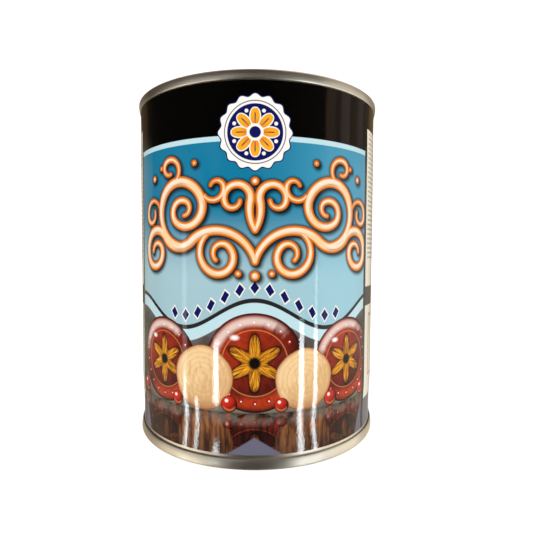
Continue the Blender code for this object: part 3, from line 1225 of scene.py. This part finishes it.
# Soft patches of a dim room that the metal and the lacquer mirror: azimuth from and to, elevation from and
# to, how soft the edges are, the light's colour and how much of it the lacquer mirrors. Angles are in
# degrees, with azimuth 0 behind the camera and 90 to its right
ROOM = (
    (-180, -112, -46, -14, 5, (0.48, 0.38, 0.28), 0.5),
    (-112, -92, -46, -14, 5, (0.72, 0.60, 0.44), 0.4),
    (-92, -50, -46, -14, 5, (0.66, 0.55, 0.39), 0.3),
    (-50, -32, -46, -14, 5, (0.32, 0.28, 0.22), 0.4),
    (-32, 16, -46, -14, 5, (0.040, 0.035, 0.030), 1.0),
    (16, 34, -46, -14, 5, (0.26, 0.25, 0.23), 0.4),
    (34, 66, -46, -14, 5, (0.28, 0.26, 0.22), 0.5),
    (66, 100, -46, -14, 5, (0.78, 0.72, 0.58), 0.4),
    (100, 180, -46, -14, 5, (0.74, 0.66, 0.50), 0.5),
    (-180, -32, -90, -46, 5, (0.50, 0.43, 0.34), 0.3),
    (-32, 16, -90, -46, 5, (0.14, 0.11, 0.07), 0.3),
    (16, 180, -90, -46, 5, (0.52, 0.48, 0.39), 0.3),
    (-98, -44, -25, -10, 4, (0.66, 0.59, 0.48), 0.0),
    (32, 66, -25, -6, 4, (0.70, 0.70, 0.66), 0.0),
    (66, 110, -23, -6, 4, (0.66, 0.65, 0.57), 0.0),
    (-92, -30, -7, 2, 4, (0.38, 0.365, 0.34), 0.0),
    (-66, -16, -5, 4, 3, (0.52, 0.52, 0.53), 0.0),
    (-30, 30, -3, 5, 3, (0.31, 0.305, 0.30), 0.0),
    (30, 62, -10, 4, 4, (0.42, 0.42, 0.39), 0.0),
    (62, 116, -7, 14, 4, (0.42, 0.38, 0.32), 0.0),
    (-110, 40, 8, 18, 4, (0.035, 0.022, 0.016), 0.0),
    (-180, -142, 8, 40, 5, (0.25, 0.24, 0.22), 0.0),
    (-142, -30, 14, 40, 5, (0.07, 0.052, 0.040), 0.0),
    (-30, 30, 14, 40, 5, (0.035, 0.025, 0.020), 0.0),
    (30, 60, 14, 40, 5, (0.15, 0.13, 0.11), 0.0),
    (60, 150, 12, 40, 5, (0.21, 0.19, 0.16), 0.0),
    (-180, -128, -14, 26, 3, (0.095, 0.051, 0.023), 1.0),
    (-128, -118, -14, 26, 3, (0.015, 0.005, 0.0), 1.0),
    (-150, -118, -14, 12, 3, (0.19, 0.23, 0.18), 1.0),
    (-100, -50, -4, 10, 3, (0.15, 0.14, 0.13), 1.0),
    (60, 130, -14, 11, 3, (0.38, 0.36, 0.32), 1.0),
    (65, 72, 12, 26, 2, (0.27, 0.17, 0.11), 1.0),
    (72, 76, 12, 26, 2, (0.24, 0.17, 0.12), 1.0),
    (76, 83, 12, 26, 2, (0.13, 0.09, 0.06), 1.0),
    (83, 95, 12, 26, 2, (0.30, 0.23, 0.19), 1.0),
    (95, 108, 12, 26, 2, (0.12, 0.07, 0.04), 1.0),
    (108, 118, 12, 26, 3, (0.18, 0.14, 0.13), 1.0),
    (118, 134, -14, 26, 3, (0.075, 0.045, 0.022), 1.0),
    (134, 180, -14, 26, 3, (0.20, 0.13, 0.06), 1.0),
    (-180, 180, 31, 90, 6, (0.12, 0.085, 0.06), 1.0),
    (-130, -18, 31, 90, 6, (0.10, 0.085, 0.07), 1.0),
    (18, 60, 31, 90, 6, (0.24, 0.21, 0.17), 1.0),
    (60, 150, 29, 90, 6, (0.52, 0.45, 0.33), 1.0),
    (-180, -110, 38, 90, 8, (0.42, 0.42, 0.42), 1.0),
    (-110, 110, 52, 90, 8, (0.14, 0.13, 0.12), 1.0),
    (110, 180, 38, 90, 8, (0.42, 0.42, 0.42), 1.0),
    (15, 95, 54, 84, 10, (0.50, 0.50, 0.48), 1.0),
)
# Narrow upright lamps: azimuth, elevation from and to, width in degrees, how soft the ends are, light
LAMPS = (
    (-38.6, -23.0, -13.0, 4.6, 1.5, 14.0),
    (-71.5, -36.0, -17.0, 2.6, 1.5, 15.0),
    (-71.5, -17.0, 2.0, 5.0, 1.5, 1.2),
    (-59.5, -36.0, -20.5, 2.4, 1.0, 14.0),
    (41.5, -34.0, -11.0, 4.6, 2.5, 14.0),
    (56.0, -34.0, -10.5, 3.2, 2.5, 14.0),
    (56.0, -10.5, -1.0, 2.4, 2.5, 2.5),
)
LAMPS_ON_METAL = 0.26
LAMP_EDGE = 0.3
LAMP_COLOUR = (0.90, 0.97, 1.0)
DIMMEST = (0.005, 0.004, 0.003)
BACKDROP = (1.12, 1.12, 1.12)

# The floor's glow, and its half side in metres
FLOOR_GLOW = 0.25
FLOOR_HALF_SIDE = 2.0


def set_world():
    """White all round for the camera and for soft light, and a dim room for what is mirrored."""
    world = bpy.data.worlds.new("studio")
    bpy.context.scene.world = world
    world.use_nodes = True
    world.cycles.sampling_method = "NONE"
    nodes = world.node_tree.nodes
    x, y, z = split(Wire(nodes.new("ShaderNodeTexCoord"), "Generated"))
    azimuth = turn_from_front(x, y) * math.degrees(1)
    elevation = calc("ARCSINE", z) * math.degrees(1)
    path = nodes.new("ShaderNodeLightPath")
    on_lacquer = Wire(path, "Is Singular Ray")
    room = DIMMEST
    for az_from, az_to, el_from, el_to, soft, light, in_lacquer in ROOM:
        middle, half = (az_from + az_to) / 2, (az_to - az_from) / 2
        share = band(elevation, el_from, el_to, soft)
        if in_lacquer < 1:
            share = share * (1.0 - on_lacquer * (1.0 - in_lacquer))
        if half < 180:
            share = share * below(abs(repeat(azimuth - middle, 360.0)), half, soft)
        room = vector_calc("ADD", room, vector_calc("SCALE", light, share))
    for lamp_azimuth, el_from, el_to, width, soft, light in LAMPS:
        off = abs(repeat(azimuth - lamp_azimuth, 360.0))
        share = below(off, width / 2, LAMP_EDGE) * band(elevation, el_from, el_to, soft)
        share = share * (LAMPS_ON_METAL + on_lacquer * (1.0 - LAMPS_ON_METAL))
        room = vector_calc("ADD", room, vector_calc("SCALE", LAMP_COLOUR, share * light))
    mirrored = Wire(path, "Is Glossy Ray") * calc("LESS_THAN", Wire(path, "Diffuse Depth"), 0.5)
    put(nodes["Background"], {"Color": paint(mirrored, BACKDROP, room)})


def add_floor():
    new = surface("floor")
    put(new.shader, {
        "Base Color": paint(cloud(new.where, 0.02), FLOOR_DARK, FLOOR_PALE),
        "Emission Color": (1.0, 1.0, 1.0),
        "Emission Strength": FLOOR_GLOW,
        "Roughness": 0.9,
        "Specular IOR Level": 0.0,
    })
    bm = bmesh.new()
    bmesh.ops.create_grid(bm, x_segments=8, y_segments=8, size=FLOOR_HALF_SIDE)
    floor = as_object("floor", bm, new.material)
    floor.visible_glossy = False


def add_camera():
    data = bpy.data.cameras.new("camera")
    data.sensor_width = SENSOR
    data.lens = FOCAL_PIXELS * SENSOR / PICTURE_SIDE
    data.clip_start = 0.01
    camera = bpy.data.objects.new("camera", data)
    bpy.context.scene.collection.objects.link(camera)
    sin_yaw, cos_yaw = math.sin(CAMERA_YAW), math.cos(CAMERA_YAW)
    sin_down, cos_down = math.sin(CAMERA_DOWN), math.cos(CAMERA_DOWN)
    forward = Vector((cos_down * sin_yaw, cos_down * cos_yaw, -sin_down))
    right = Vector((cos_yaw, -sin_yaw, 0))
    up = Vector((sin_down * sin_yaw, sin_down * cos_yaw, cos_down))
    c, s = math.cos(CAMERA_ROLL), math.sin(CAMERA_ROLL)
    axes = Matrix((right * c - up * s, right * s + up * c, -forward)).transposed()
    stand = Matrix.Translation(Vector((0, -CAMERA_DISTANCE, CAMERA_HEIGHT)) * MM)
    camera.matrix_world = stand @ axes.to_4x4()
    bpy.context.scene.camera = camera


def main():
    scene = bpy.context.scene
    scene.view_settings.view_transform = "Standard"
    add_camera()
    set_world()
    add_floor()
    add_body(tinplate_material("welded_tinplate", weld=True))
    add_ends(tinplate_material("tinplate"))
    add_print(print_material())
    add_chestnuts(flesh_material())
    compound = compound_material()
    for name in ("top_seam_compound", "bottom_seam_compound"):
        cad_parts[name].material_slots[0].material = compound


main()
